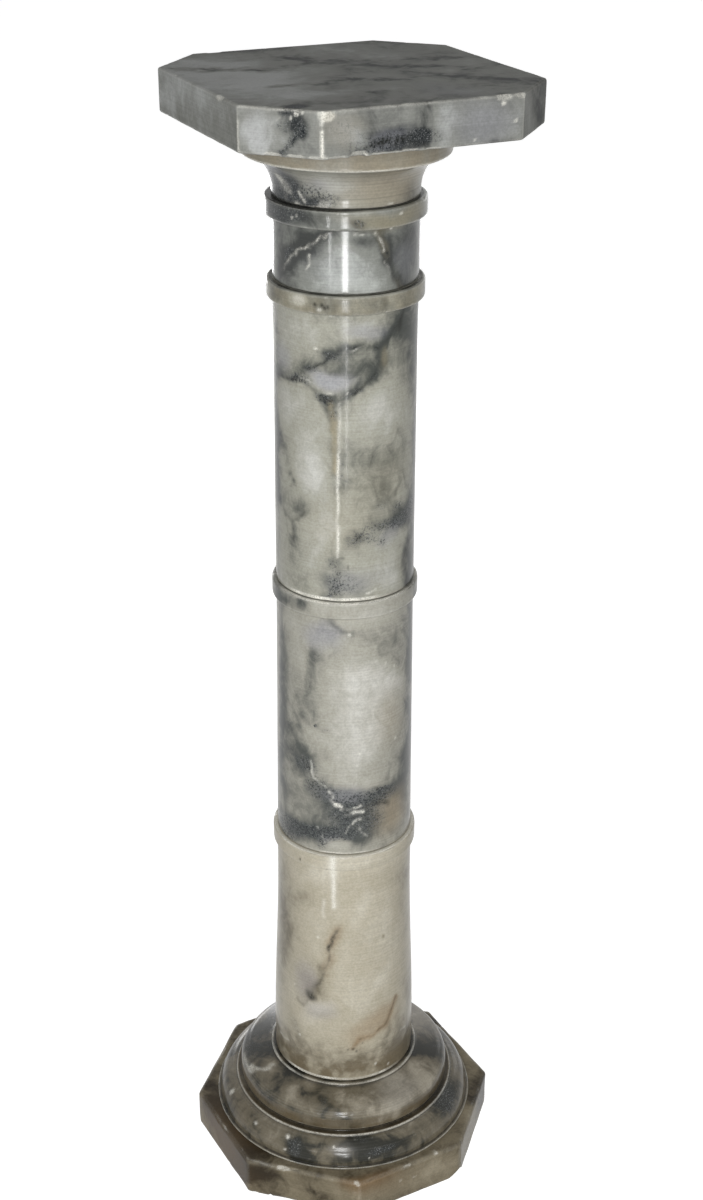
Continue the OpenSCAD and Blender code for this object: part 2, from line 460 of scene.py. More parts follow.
def linear(colour):
    """A colour written as 0 to 255 screen values, as the shader's linear values."""
    parts = [c / 255 for c in colour]
    return tuple(c / 12.92 if c < 0.04045 else ((c + 0.055) / 1.055) ** 2.4 for c in parts) + (1,)


def set_inputs(tree, node, inputs):
    """Gives a node its inputs: sockets are linked, numbers and colours are set on it."""
    for key, value in inputs.items():
        if isinstance(value, bpy.types.NodeSocket):
            tree.links.new(value, node.inputs[key])
        else:
            node.inputs[key].default_value = value


def add_node(tree, kind, inputs, **settings):
    made = tree.nodes.new(kind)
    for key, value in settings.items():
        setattr(made, key, value)
    set_inputs(tree, made, inputs)
    return made


class Shader:
    """Short names for adding the nodes of one material."""

    def __init__(self, name):
        self.material = bpy.data.materials.new(name)
        self.material.use_nodes = True
        self.tree = self.material.node_tree
        self.surface = self.tree.nodes["Principled BSDF"]
        self.place = self.tree.nodes.new("ShaderNodeTexCoord").outputs["Object"]

    def node(self, kind, inputs, **settings):
        return add_node(self.tree, kind, inputs, **settings)

    def math(self, operation, a, b, clamped=False):
        made = self.node("ShaderNodeMath", {0: a, 1: b}, operation=operation, use_clamp=clamped)
        return made.outputs[0]

    def ramp(self, value, low, high, to_low=0.0, to_high=1.0):
        inputs = {"Value": value, "From Min": low, "From Max": high}
        inputs.update({"To Min": to_low, "To Max": to_high})
        return self.node("ShaderNodeMapRange", inputs, interpolation_type="SMOOTHSTEP").outputs[0]

    def mix(self, factor, a, b):
        return self.node("ShaderNodeMix", {0: factor, 6: a, 7: b}, data_type="RGBA").outputs[2]

    def stretch(self, x, y, z, shift):
        inputs = {"Vector": self.place, "Scale": (x, y, z), "Location": (shift, shift, shift)}
        return self.node("ShaderNodeMapping", inputs).outputs[0]

    def noise(self, scale, detail, rough, bend=0.0, where=None):
        inputs = {"Vector": where or self.place, "Scale": scale}
        inputs.update({"Detail": detail, "Roughness": rough, "Distortion": bend})
        return self.node("ShaderNodeTexNoise", inputs).outputs[0]

    def marks(self, name):
        layer = self.node("ShaderNodeAttribute", {}, attribute_name=name)
        return self.node("ShaderNodeSeparateColor", {0: layer.outputs["Color"]}).outputs[:3]


def stone_material(
    name, shade, body, light, warm, cool, seed, cloud=1.0, gloss=0.32, polish=0.22, shine=0.1,
):
    """Polished veined stone. The five tones are screen colours; marks move between them.
    Cloud is how strongly it varies by itself. Gloss is its roughness, polish the weight of
    a clear coat and shine its specular level."""
    s = Shader(name)
    vein, speck, dirt_and_shade = s.marks("dark_marks")
    frost_and_highlight, tone, hue = s.marks("light_marks")
    drift = s.stretch(1, 1, 0.8, seed)
    clouds = s.noise(CLOUD_SCALE, 4, 0.5, 0.8, drift)
    wisps = s.noise(WISP_SCALE, 5, 0.62, 1.4, drift)
    fine = s.noise(FINE_SCALE, 4, 0.7)
    grit = s.noise(GRIT_SCALE, 2, 0.6)
    turning = s.noise(1.0, 3, 0.6, 0.0, s.stretch(*TURNING_LINES, seed))

    level = s.math("MULTIPLY", s.math("SUBTRACT", clouds, 0.5), 1.5 * cloud)
    level = s.math("ADD", level, s.math("MULTIPLY", s.math("SUBTRACT", wisps, 0.5), 0.7 * cloud))
    level = s.math("ADD", level, s.math("MULTIPLY", s.math("SUBTRACT", tone, 0.5), 1.2))
    colour = s.mix(s.ramp(level, -0.48, 0.04), linear(shade), linear(body))
    colour = s.mix(s.ramp(level, -0.02, 0.6), colour, linear(light))
    colour = s.mix(s.ramp(hue, 0.5, 1.0, 0.0, 0.9), colour, linear(warm))
    colour = s.mix(s.ramp(hue, 0.0, 0.5, 0.7, 0.0), colour, linear(cool))
    mottle = s.ramp(s.math("ADD", fine, s.math("MULTIPLY", turning, 0.6)), 0.55, 1.05, 0.86, 1.11)
    inputs = {0: colour, "Scale": mottle}
    colour = s.node("ShaderNodeVectorMath", inputs, operation="SCALE").outputs[0]

    wispy = s.ramp(wisps, 0.3, 0.7, 0.7, 1.2)
    smoke = s.math("MULTIPLY", s.ramp(speck, 0.0, 1.0, 0.0, 0.3), wispy, True)
    colour = s.mix(smoke, colour, linear(SMOKE))
    grains = s.math("ADD", s.math("MULTIPLY", fine, 0.65), s.math("MULTIPLY", grit, 0.35))
    grains = s.ramp(s.math("ADD", grains, s.math("MULTIPLY", speck, 0.075)), 0.53, 0.595)
    grains = s.math("MULTIPLY", grains, s.ramp(speck, 0.02, 0.7, 0.0, 0.9), True)
    colour = s.mix(grains, colour, linear(GRAIN))
    glints = s.math("MULTIPLY", s.ramp(speck, 0.1, 0.6), s.ramp(grit, 0.56, 0.64), True)
    colour = s.mix(s.math("MULTIPLY", glints, 0.35), colour, linear(GLINT))
    threads = s.math("MULTIPLY", vein, s.ramp(fine, 0.3, 0.55, 0.55, 1.0), True)
    colour = s.mix(threads, colour, linear(THREAD))
    # Pale crackle, chips and worn edges; on the top slab's front corners it is also a painted edge
    # highlight.
    crackle_and_highlight = s.math("MULTIPLY", frost_and_highlight, s.ramp(grit, 0.36, 0.56, 0.35, 1.0), True)
    colour = s.mix(crackle_and_highlight, colour, linear(CRACKLE_AND_HIGHLIGHT))
    # Grime at the joints and darkening in the hollows; at the ends of the upper shaft's top ring it is
    # painted shade.
    grime_and_shade = s.math("MULTIPLY", dirt_and_shade, s.ramp(fine, 0.35, 0.6, 0.7, 1.0), True)
    colour = s.mix(grime_and_shade, colour, linear(GRIME_AND_SHADE))

    rough = s.ramp(fine, 0.3, 0.7, gloss - 0.04, gloss + 0.08)
    rough = s.math("ADD", rough, s.math("MULTIPLY", dirt_and_shade, 0.4))
    rough = s.math("ADD", rough, s.math("MULTIPLY", frost_and_highlight, 0.25), True)
    height = s.math("ADD", s.math("MULTIPLY", turning, 0.5), s.math("MULTIPLY", fine, 0.4))
    height = s.math("ADD", height, s.math("MULTIPLY", crackle_and_highlight, 1.5))
    height = s.math("SUBTRACT", height, s.math("MULTIPLY", threads, 1.2))
    inputs = {"Height": height, "Strength": BUMP_STRENGTH, "Distance": BUMP_HEIGHT}
    bump = s.node("ShaderNodeBump", inputs)
    set_inputs(s.tree, s.surface, {
        "Base Color": colour, "Roughness": rough, "Normal": bump.outputs[0],
        "Specular IOR Level": shine, "Coat Weight": polish, "Coat Roughness": COAT_ROUGHNESS,
    })
    return s.material


# ---------------------------------------------------------------- the eight stones


def make_plinth():
    stone = Stone("plinth", seed=100).prism(cap_rings=44, rounding=1.3, bevel=1.5)
    stone.wear(depth=1.6, nick=1.6, pale=0.4)
    stone.chip(16,
        ((-60, -132, 38), (0.1, -0.6, 0.8), 2.2), ((-96, -92, 38), (-0.6, -0.5, 0.7), 3.2),
        ((-130, -20, 38), (-0.7, 0, 0.7), 2.4), ((32, -130, 38), (0, -0.6, 0.8), 1.8),
        ((55, -128, 0), (0.5, -0.5, -0.7), 4.0), ((-6, -131, 38), (0.1, -0.7, 0.7), 1.6),
    )
    stone.patch("tone",
        (-120, -36, 38, 22, 9, -1), (-129, -30, 18, 60, 26, -0.75), (-122, 40, 38, 20, 70, -0.7),
        (-110, -70, 18, 20, 26, -0.2), (102, -75, 38, 16, 14, -0.9), (112, -60, 20, 40, 30, -0.45),
        (120, -62, 20, 20, 14, -0.8), (-60, -132, 14, 34, 10, -0.3), (-30, -132, 20, 60, 12, 0.4),
        (20, -131, 20, 36, 12, 0.4), (-110, -80, 38, 26, 18, 0.25), (60, 125, 20, 40, 14, -0.5),
        (-70, 120, 38, 26, 20, -0.6),
    )
    stone.patch("speck",
        (-120, -34, 38, 14, 7, 0.3), (104, -74, 38, 14, 7, 0.3), (118, -66, 20, 14, 7, 0.3),
    )
    stone.vein(
        ([(90, 95, 38), (70, 110, 38), (62, 122, 30), (58, 126, 10)], 1.5, 0.6, 5, 0.3, 0.4),
        ([(129, 20, 4), (130, 34, 20), (128, 44, 38), (112, 50, 38)], 1.3, 0.6, 6, 0.3),
        ([(-40, 130, 2), (-30, 130, 22), (-10, 129, 38), (0, 118, 38)], 1.3, 0.5, 5, 0.3, 0.5),
    )
    stone.patch("warm",
        (-40, -128, 38, 40, 9, 0.9), (-20, -131, 24, 46, 12, 0.3), (-125, -10, 18, 60, 30, 0.5),
    )
    stone.line("vein", ([(-38, -131, 37), (-16, -130, 37), (6, -129, 38)], 0.9, 0.6))
    stone.line("frost_and_highlight", ([(-131, -20, 38), (-128, -56, 37), (-98, -90, 37)], 1.2, 0.3, 1, 0.8))
    stone.dots("frost_and_highlight",
        (-105, -80, 38, 1.8), (32, -131, 36, 2), (-50, -132, 26, 1.6), (-38, -132, 14, 2.2),
        (-2, -131, 24, 1.5), (14, -131, 20, 1.4), (-126, -52, 38, 1.6), (-76, -110, 38, 1.4),
        strength=0.9, tall=0.7, ragged=1,
    )
    stone.build(
        (50, 43, 32), (128, 119, 99), (164, 155, 134), (124, 102, 74), (108, 106, 98), seed=3.1,
        polish=0.08, shine=0.05,
    )


def make_base():
    stone = Stone("base", seed=200).turned(columns=360, step=1.2, rounding=0.6)
    stone.wear()
    stone.patch("tone",
        (-112, 86, 36, 16, -1), (-72, 88, 16, 9, -0.6), (-84, 80, 14, 9, -0.7), (-66, 76, 18, 6, -0.5),
        (-36, 87, 9, 10, -0.6), (14, 84, 32, 14, 0.9), (-15, 87, 14, 8, 0.5), (-55, 86, 12, 8, 0.5),
        (30, 78, 16, 6, 0.6), (-88, 88, 7, 6, 0.4), (60, 84, 18, 12, -0.6), (-49, 55, 14, 7, -1),
        (-37, 59, 9, 3, -0.8), (-46, 47, 14, 6, -1), (-14, 59, 10, 4, -0.9), (-8, 49, 22, 5, -1),
        (38, 56, 24, 9, -1), (6, 57, 18, 6, 0.5), (-80, 54, 34, 10, 0.3), (-25, 54, 14, 6, 0.25),
        (-115, 52, 24, 8, -0.6), (150, 84, 40, 14, -0.7), (110, 52, 36, 9, -0.5), soft=0.7, ragged=2.2,
    )
    stone.patch("speck",
        (-112, 86, 30, 13, 0.35), (-70, 77, 16, 6, 0.3), (-36, 86, 7, 8, 0.3), (-49, 55, 11, 6, 0.6),
        (-48, 48, 9, 5, 0.55), (-8, 50, 18, 4, 0.6), (38, 56, 20, 8, 0.55), (-14, 60, 8, 3, 0.35),
    )
    stone.patch("warm", (-25, 55, 13, 6, -0.8), (12, 84, 30, 12, -0.5), (-80, 54, 30, 10, 0.35))
    stone.band("warm", (62, 76), 0.75)
    # Painted shade: darkens the recessed belt between 62 and 77 mm.
    stone.band("tone", (62, 77), -0.2, reach=(96, 104))
    stone.band("tone", (78, 92), 0.25, angles=(-80, 60), soft=3)
    stone.band("tone", (39, 60), -0.35, soft=3, broken=0.7)
    stone.line("frost_and_highlight", ([(-107, 82), (-98, 81), (-92, 82), (-88, 86), (-85, 89)], 2.4, 0.8, 1.6, 0.7))
    stone.vein(
        ([(48, 92), (56, 89), (61, 86), (64, 82)], 1.8, 0.7, 5, 0.6),
        ([(-60, 91), (-52, 87), (-42, 88), (-30, 84), (-24, 79)], 1.2, 0.5, 4, 0.3),
        ([(-75, 88), (-66, 84), (-60, 80), (-50, 78)], 1.2, 0.5, 4, 0.3),
    )
    stone.band("dirt_and_shade", (61.5, 64.5), 0.8, reach=(97, 101))
    stone.band("frost_and_highlight", (60.5, 62.8), 0.5, reach=(101.8, 103.6), broken=0.6)
    stone.band("dirt_and_shade", (90.5, 92.0), 0.7, reach=(68.4, 72), angles=(-100, 0))
    stone.band("frost_and_highlight", (92.2, 94), 0.6, reach=(67, 69.6), broken=0.6)
    stone.band("dirt_and_shade", (92.4, 94), 0.8, reach=(60, 66.6))
    stone.band("frost_and_highlight", (38.4, 40.4), 0.35, reach=(120.6, 122), broken=0.7)
    stone.band("dirt_and_shade", (39.6, 41.2), 0.6, reach=(117, 120))
    stone.dots("frost_and_highlight",
        (-53, 58, 2.2), (-53, 47, 1.3), (-29, 56.5, 1.3), (-70, 55, 1.6), (-96, 54, 3), (-14, 46, 1),
        strength=0.95, tall=0.8, ragged=0.6,
    )
    stone.hidden_side(4)
    stone.build(
        (36, 36, 29), (110, 103, 87), (166, 159, 143), (94, 82, 60), (118, 116, 112),
        cloud=1.3, seed=5.7, polish=0.3,
    )


def make_lower_shaft():
    stone = Stone("lower_shaft", seed=300).turned()
    crack = [
        (-31, 260), (-33, 253), (-36, 246), (-37, 241), (-37, 235), (-40, 224), (-43, 210), (-47, 200),
        (-52, 190), (-54, 183), (-59, 175),
    ]
    smear = [(24, 172), (18, 162), (11, 148), (-1, 142), (-12, 141), (-18, 132)]
    stone.wear()
    stone.vein((crack, 1.3, 0.7, 4.5, 0.6))
    stone.line("warm", (crack, 7, 0.6))
    stone.patch("vein", (-37, 241, 3, 5, 0.8))
    stone.patch("vein", (-52, 188, 4, 7, 0.8), tilt=40)
    stone.line("vein",
        ([(-66, 177), (-63, 174), (-60, 172)], 2, 0.6),
        ([(24, 172), (18, 162), (11, 148), (-1, 142), (-11, 141)], 1, 0.6, 1, 0.9),
    )
    stone.patch("warm", (-58, 200, 15, 26, -0.9), (-46, 172, 16, 12, -0.8))
    stone.patch("tone", (-46, 172, 16, 12, 0.35), (-55, 190, 14, 20, -0.25), (-70, 140, 12, 30, -0.35))
    stone.patch("speck", (-67, 146, 9, 12, 0.35))
    stone.patch("frost_and_highlight", (-46, 176, 13, 5, 0.25), soft=0.8)
    stone.patch("tone", (10, 246, 1.6, 2.4, -1), ragged=0.3)
    stone.patch("frost_and_highlight", (-48, 250, 1.3, 1.3, 0.7), ragged=0.3)
    stone.patch("warm", (-4, 150, 30, 16, 0.55), tilt=25)
    stone.patch("warm", (12, 160, 20, 14, 0.3))
    stone.line("warm", (smear, 3.2, 0.7))
    stone.line("tone", (smear, 2.6, -0.8))
    stone.dots("vein",
        (-18, 131, 1.6), (-15, 128, 1.4), (-22, 130, 1.1), (-10, 136, 1.1), strength=0.8, ragged=0.4,
    )
    stone.dots("frost_and_highlight",
        (-64, 138, 1.2), (1, 109, 1.5), (15, 102, 1.4), (-70, 190, 0.9), strength=0.8, ragged=0.4,
    )
    stone.line("frost_and_highlight",
        ([(30, 131), (38, 128)], 1, 0.7), ([(-92, 118), (-85, 118), (-78, 121)], 1.1, 0.6),
        ([(-34, 339), (-34, 326), (-34, 308), (-34, 284)], 2.2, 0.95, 0.5, 0.15),
        ([(-34, 339), (-34, 318)], 3.4, 0.5, 0.5, 0.3), ([(-43, 290), (-43, 273)], 1.6, 0.5, 0.5),
    )
    # Painted sheen: these two broad pale clouds down the front stand in for a soft highlight on the
    # shaft.
    stone.patch("tone", (-12, 290, 34, 60, 0.3), (-12, 200, 28, 60, 0.2), soft=0.9)
    # Painted shade: these two tall dark clouds at 42 and -90 degrees darken the shaft along its left and
    # right edges.
    stone.patch("tone", (42, 230, 16, 90, -0.4), (-90, 230, 16, 90, -0.4), soft=0.7)
    stone.patch("tone", (-62, 300, 12, 50, -0.2))
    stone.band("tone", (80, 128), -1.0, soft=28, broken=0.45)
    stone.band("warm", (80, 122), 0.3, soft=22)
    stone.band("frost_and_highlight", (94, 96.8), 1.0, angles=(-80, 20), broken=0.7)
    stone.band("dirt_and_shade", (92, 93.6), 0.9)
    stone.band("frost_and_highlight", (339.0, 342), 0.8, reach=(60.4, 63.1), broken=0.4)
    stone.band("dirt_and_shade", (339.2, 342), 0.7, reach=(62.9, 64), angles=(-60, 20), broken=0.8)
    stone.patch("vein", (-62, 330, 1.2, 2, 0.9), (-38, 326, 1.2, 1, 0.7), ragged=0.4)
    stone.hidden_side(4)
    stone.build(
        (104, 97, 80), (180, 173, 154), (214, 210, 196), (154, 134, 106), (158, 153, 148),
        cloud=0.7, seed=1.3,
    )


def make_middle_shaft():
    stone = Stone("middle_shaft", seed=400).turned()
    thread = [(-64, 583), (-56, 577), (-48, 571), (-39, 566), (-34, 563), (-27, 557), (-18, 556)]
    stone.wear()
    # Among these tone clouds, the tall narrow dark ones at -92, -88, 50 and 52 degrees are painted shade
    # along the shaft's edges, and the dark one at -88 degrees, 579 mm is painted shade at the left end of
    # the top ring.
    stone.patch("tone",
        (-88, 579, 16, 7, -0.7), (-63, 581, 4, 6, -0.5), (-46, 530, 12, 7, -0.2), (-84, 560, 16, 16, 0.3),
        (-62, 426, 18, 12, -0.6), (-55, 372, 42, 34, -0.35), (-75, 410, 20, 30, -0.25),
        (-20, 372, 28, 20, -0.45), (0, 395, 26, 14, -0.5), (-62, 356, 38, 9, -0.9),
        (-38, 357, 18, 7, -0.7), (22, 372, 24, 26, -0.4), (-29, 349, 9, 7, 0.5), (-20, 455, 30, 46, 0.4),
        (-66, 520, 18, 60, -0.25), (-92, 460, 9, 110, -0.6), (52, 450, 9, 110, -0.7),
        (-30, 420, 18, 14, 0.5), (8, 500, 22, 40, 0.25), (46, 425, 12, 16, -0.9), (36, 395, 16, 20, -0.5),
        (-14, 515, 26, 26, 0.3), (-88, 520, 12, 50, -0.35), (-8, 565, 30, 8, 0.4),
        (-14, 397, 36, 9, -0.5), (-40, 398, 16, 18, -0.3), (50, 500, 10, 60, -0.5),
        (-72, 540, 12, 18, 0.3), (-38, 406, 22, 13, -0.4), soft=0.8,
    )
    stone.patch("speck",
        (-46, 530, 8, 6, 0.3), (-51, 468, 2.2, 2.6, 1), (-44, 466, 5, 4, 0.4), (-62, 426, 14, 9, 0.6),
        (-58, 430, 5, 6, 0.7), (-14, 396, 34, 8, 0.5), (-16, 374, 30, 20, 0.75), (2, 396, 22, 12, 0.8),
        (-62, 357, 34, 8, 1), (-38, 358, 18, 7, 0.9), (-84, 348, 14, 10, 0.9), (-44, 346, 8, 7, 0.7),
        (-50, 410, 10, 16, 0.5), (-26, 388, 16, 8, 0.6), (10, 404, 9, 4, 0.8), (-38, 404, 20, 11, 0.55),
    )
    stone.patch("warm",
        (-42, 550, 20, 15, -0.9), (-24, 402, 24, 12, -0.7), (-35, 352, 14, 8, -0.5),
        (20, 372, 28, 28, 0.75), (18, 470, 24, 34, 0.4), (-29, 349, 8, 6, 0.3),
    )
    stone.line("tone",
        (thread, 3.5, -0.3, 1, 0.5), ([(-50, 530), (-58, 508), (-52, 478)], 8, -0.2, 3),
        ([(-70, 487), (-67, 474), (-66, 462)], 6, -0.35),
        ([(-75, 456), (-66, 444), (-60, 436), (-57, 430)], 7, -0.4),
    )
    stone.line("vein",
        (thread, 1, 0.3, 1, 0.9), ([(-10, 385), (0, 390), (8, 389), (16, 384)], 2.2, 0.7, 1, 0.8),
        ([(-24, 384), (-16, 384), (-8, 385)], 1.2, 0.8, 1, 0.7),
        ([(-26, 377), (-16, 378), (-6, 379)], 1.2, 0.7, 1, 0.7),
        ([(4, 405), (9, 409), (13, 411)], 2.4, 0.7, 1, 0.8),
        ([(-60, 430), (-56, 424), (-54, 418)], 1.8, 0.7, 1, 0.7),
    )
    stone.line("speck", ([(-50, 530), (-58, 508), (-52, 484)], 6, 0.22, 3, 0.9))
    stone.line("frost_and_highlight",
        ([(-56, 431), (-54, 424), (-51, 415), (-47, 412), (-41, 408)], 1.1, 0.9, 1, 0.5),
        ([(-38, 404), (-35, 400), (-36, 395), (-33, 391), (-28, 389)], 1.4, 1.2, 1.2),
        ([(-28, 386), (-22, 386), (-16, 387), (-12, 390)], 1.1, 1.1, 1.2),
        ([(-24, 380), (-20, 382), (-14, 382), (-10, 382)], 1.5, 1.2, 1.2, 0.3),
        ([(-19, 371), (-15, 373), (-11, 375)], 1.2, 0.9, 1.2),
        ([(-13, 366), (-9, 360), (-6, 357)], 1, 0.8, 1.2, 0.5), ([(-22, 369), (-24, 362)], 0.9, 0.5),
        ([(-48, 366), (-45, 361), (-41, 347)], 1.3, 0.5, 1.6, 0.8),
    )
    stone.dots("frost_and_highlight",
        (-20, 554, 1.8), (-12, 440, 1.3), (22, 446, 1.4), (11, 523, 1), (20, 519, 1.2),
        strength=0.7, ragged=0.5,
    )
    stone.band("frost_and_highlight", (584.0, 586), 1.0, reach=(58.3, 61.3), angles=(-80, 30), broken=0.35)
    stone.band("dirt_and_shade", (584.2, 586), 0.8, reach=(60.9, 62), broken=0.7)
    stone.band("tone", (571, 584), 0.35, reach=(60.5, 62), angles=(-50, 20), soft=1)
    stone.band("dirt_and_shade", (339, 340.7), 0.75)
    stone.band("frost_and_highlight", (341, 342.6), 0.7, angles=(-50, 0), broken=0.7)
    stone.hidden_side(5)
    stone.build(
        (76, 79, 76), (164, 162, 151), (204, 203, 196), (156, 144, 122), (156, 156, 159),
        cloud=0.8, seed=2.2,
    )


def make_upper_shaft():
    stone = Stone("upper_shaft", seed=500).turned()
    low = [
        (-104, 769), (-86, 771), (-76, 771), (-68, 772), (-62, 773), (-56, 771), (-51, 767), (-46, 763),
        (-40, 761), (-35, 761), (-30, 762), (-24, 765), (-19, 767), (-12, 771), (-4, 778), (3, 788),
    ]
    high = [
        (-59, 780), (-54, 783), (-48, 787), (-42, 791), (-37, 796), (-31, 800), (-26, 803), (-15, 803),
        (-7, 803), (1, 801),
    ]
    left = [(-105, 666), (-96, 663), (-88, 660), (-80, 652), (-74, 647), (-72, 641), (-71, 632)]
    belt = [(48, 656), (28, 648), (12, 650), (-3, 650), (-10, 646), (-18, 640)]
    smudge = [(-34, 620), (-30, 611), (-33, 604), (-32, 596), (-35, 588)]
    stone.wear()
    # Among these tone clouds, the tall narrow dark ones at -98, 50 and 52 degrees are painted shade along
    # the shaft's edges, and the dark one at -88 degrees, 838 mm is painted shade at the left end of the
    # top ring.
    stone.patch("tone",
        (-30, 786, 30, 11, -0.3), (-8, 790, 20, 11, -0.3), (-40, 776, 14, 7, 0.7),
        (38, 800, 16, 30, -0.6), (-12, 716, 26, 9, -0.12), (-62, 742, 20, 22, 0.35),
        (-62, 660, 14, 9, -0.5), (40, 652, 24, 12, -0.9), (-62, 836, 7, 6, 0.8), (-88, 838, 12, 7, -0.7),
        (-55, 810, 26, 14, 0.35), (-5, 820, 24, 10, 0.35), (-50, 716, 18, 24, 0.3),
        (0, 745, 26, 22, 0.45), (-25, 650, 24, 22, 0.3), (48, 600, 14, 26, -1), (8, 606, 20, 12, 0.3),
        (-58, 688, 16, 14, 0.4), (50, 760, 9, 60, -0.4), (-98, 720, 9, 110, -0.7),
        (52, 700, 10, 100, -0.8), (-30, 720, 14, 40, -0.2), (-22, 600, 26, 12, -0.4),
        (-72, 610, 14, 26, -0.35), (30, 720, 16, 40, -0.15), soft=0.8,
    )
    stone.vein(
        (low, 1.5, 0.95, 5, 0.7), (high, 1.5, 0.75, 5, 0.6),
        ([(1, 801), (7, 806), (12, 811), (16, 813), (22, 820), (27, 827)], 1.8, 0.5, 5, 0.4),
    )
    stone.line("tone",
        ([(-88, 718), (-82, 708), (-76, 696), (-71, 684)], 5, -0.5),
        ([(-37, 758), (-35, 745), (-33, 728), (-32, 700)], 4, -0.4, 0.6),
    )
    stone.line("vein", ([(-82, 708), (-76, 696), (-71, 684)], 1, 0.45, 1, 0.9))
    stone.patch("speck",
        (-64, 774, 13, 4, 0.9), (-43, 763, 9, 4, 0.8), (-18, 768, 6, 3, 0.8), (-50, 785, 8, 3, 0.6),
        (-36, 797, 10, 3, 0.5), (-20, 601, 15, 9, 0.4), (20, 664, 9, 6, 0.5), (2, 670, 9, 6, 0.4),
        (44, 650, 16, 12, 0.8), (-36, 752, 5, 8, 0.5), (-28, 702, 3, 14, 0.5),
    )
    stone.patch("vein", (-18, 767, 4, 1.8, 0.8), tilt=20)
    stone.patch("vein", (-43, 762, 5, 1.5, 0.5), tilt=-15)
    stone.patch("vein", (23, 818, 4, 8, 0.75), tilt=-20)
    stone.patch("warm",
        (-38, 778, 18, 9, -1), (-88, 786, 14, 14, -0.6), (-10, 818, 20, 8, -0.6),
        (-30, 650, 30, 30, 0.35), (-24, 602, 20, 12, -0.4), (4, 794, 6, 12, 0.5), (-2, 606, 24, 12, -0.3),
        (10, 640, 18, 12, -0.5), (5, 690, 34, 34, 0.3),
    )
    stone.line("frost_and_highlight",
        ([(-46, 764), (-38, 766), (-33, 765), (-30, 762), (-26, 764), (-23, 766)], 0.9, 0.8, 1, 0.5),
        ([(-63, 775), (-58, 775), (-53, 771)], 1.2, 0.6, 1.4),
        ([(-23, 800), (-19, 801), (-14, 802)], 0.8, 0.5),
        ([(-30, 757), (-30, 735), (-30, 718)], 1.5, 0.5, 0.4),
        ([(-30, 716), (-31, 690), (-31, 660), (-31, 626)], 1.2, 0.95, 0.4, 0.6),
        ([(-30, 716), (-31, 690)], 2.2, 0.35, 0.6, 0.6), ([(-7, 593), (-3, 593), (0, 594)], 1, 0.8),
    )
    stone.line("warm", ([(-37, 758), (-35, 745), (-33, 728), (-33, 700)], 3.4, 0.9, 0.6))
    stone.line("vein", ([(20, 728), (18, 722), (13, 719), (8, 718)], 1.1, 0.45))
    stone.vein((left, 1.6, 0.75, 7, 0.5))
    stone.line("vein",
        ([(-60, 660), (-66, 652), (-72, 648)], 1.8, 0.5),
        ([(17, 674), (20, 679), (24, 682)], 1.8, 0.8, 1, 0.9),
        ([(-4, 652), (-10, 646), (-18, 640)], 1.5, 0.7, 1, 0.9),
        ([(40, 626), (32, 613), (35, 600), (38, 586)], 4.5, 0.8), ([(-30, 613), (-32, 608)], 2.4, 0.6),
        ([(-29, 625), (-26, 625)], 1.2, 0.8),
    )
    stone.line("tone",
        ([(-71, 632), (-70, 610), (-69, 594)], 7, -0.4), (belt, 10, -0.65),
        ([(42, 628), (30, 612), (34, 600), (38, 586)], 8, -0.7), (smudge, 11, -0.6),
    )
    stone.line("speck", (belt, 8, 0.8), ([(6, 636), (-5, 640)], 4, 0.8), (smudge, 7, 0.75))
    stone.patch("vein", (-22, 616, 1.2, 2.6, 0.6), ragged=0.4)
    stone.patch("frost_and_highlight", (-49, 800, 1.8, 1.2, 0.8), (-36, 827, 3, 1.2, 0.4), ragged=0.5)
    stone.band("warm", (829, 843), 0.55, reach=(58.6, 63), soft=1)
    stone.band("tone", (829, 843), -0.25, reach=(58.6, 63), soft=1)
    stone.patch("frost_and_highlight", (-61, 836, 6, 5, 0.28), soft=0.2, ragged=0.6)
    stone.patch("dirt_and_shade",
        (-47, 835, 1.6, 1.9, 0.95), (-42, 836, 1.6, 1.9, 0.95), (-40, 834, 1.6, 1.9, 0.95),
        (-37, 835, 1.6, 1.9, 0.95), ragged=0.8,
    )
    stone.patch("frost_and_highlight", (-44, 832, 2.2, 1.6, 0.6), ragged=0.6)
    stone.band("dirt_and_shade", (843.2, 845), 0.95, reach=(57.6, 60.6), broken=0.3)
    # Painted shade: these two dark bands lie only on the top ring's left and right ends.
    stone.band("dirt_and_shade", (843.2, 845), 0.6, reach=(60, 63), angles=(-110, -60))
    stone.band("dirt_and_shade", (843.2, 845), 0.6, reach=(60, 63), angles=(20, 60))
    stone.band("dirt_and_shade", (584, 585.8), 0.8)
    stone.band("frost_and_highlight", (586, 588.6), 1.2, angles=(-75, 0), broken=0.6)
    stone.hidden_side(6)
    stone.build(
        (70, 73, 69), (161, 160, 148), (199, 199, 193), (152, 144, 121), (154, 155, 162),
        cloud=0.9, seed=7.4,
    )


